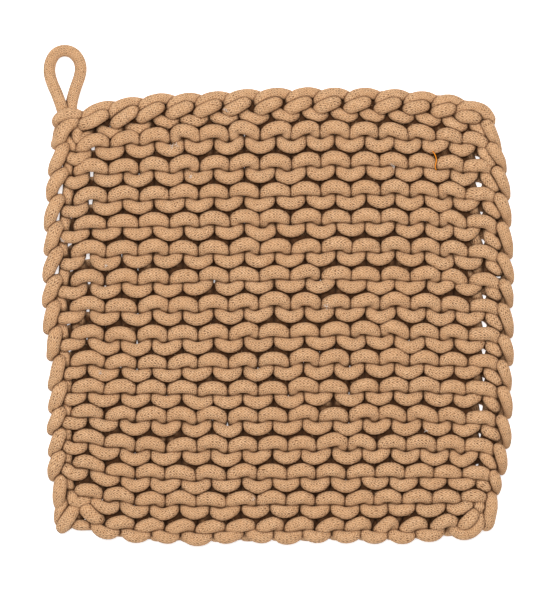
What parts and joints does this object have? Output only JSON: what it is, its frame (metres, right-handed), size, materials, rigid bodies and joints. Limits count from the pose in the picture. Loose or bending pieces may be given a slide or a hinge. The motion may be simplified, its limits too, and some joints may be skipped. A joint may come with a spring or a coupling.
{
  "type": "knitted pot holder",
  "caption": "Flat square pot holder, hand-knitted in garter stitch from thick tan cotton cord, with a small hanging loop at one corner.",
  "frame": {"origin": "centre of the whole outline, hanging loop and all, on the surface that the pot holder lies on", "axes": "+X along the ridges, +Y up the square towards the edge with the hanging loop, +Z out of the face"},
  "size_m": [0.2031, 0.2147, 0.0126],
  "materials": {
    "cotton_cord": "matt knitted cotton cord"
  },
  "bodies": {
    "root": {"knitted_body": "cotton_cord", "hanging_loop": "cotton_cord"}
  },
  "joints": []
}
